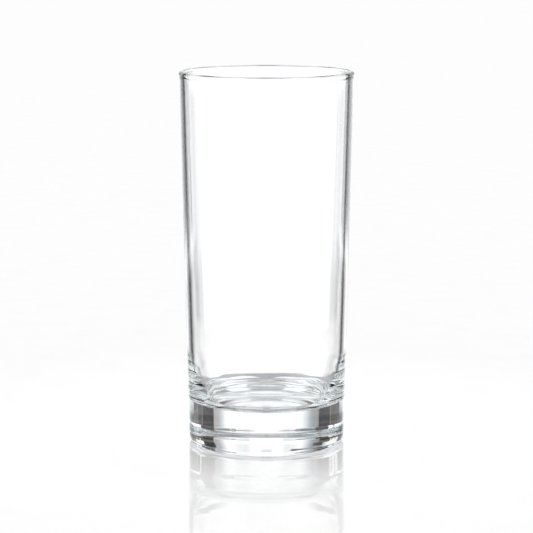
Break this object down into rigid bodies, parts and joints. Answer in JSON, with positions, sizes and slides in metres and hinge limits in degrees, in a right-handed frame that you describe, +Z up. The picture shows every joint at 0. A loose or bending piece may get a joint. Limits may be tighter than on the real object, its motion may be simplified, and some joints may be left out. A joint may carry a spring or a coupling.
{
  "type": "highball glass",
  "caption": "Tall straight-sided drinking glass in clear glass, slightly tapered, with a rounded rim and a thick solid base.",
  "frame": {"origin": "on the glass's axis, in the plane of the foot ring that it stands on", "axes": "+Z up along the glass's axis, from the foot to the mouth; X and Y level, and alike because the glass is round"},
  "size_m": [0.0674, 0.0674, 0.145],
  "materials": {
    "clear_glass": "fire-polished, glossy, clear soda-lime glass with a faint grey-green tint in the thick base"
  },
  "bodies": {
    "root": {"glass_body": "clear_glass"}
  },
  "joints": []
}
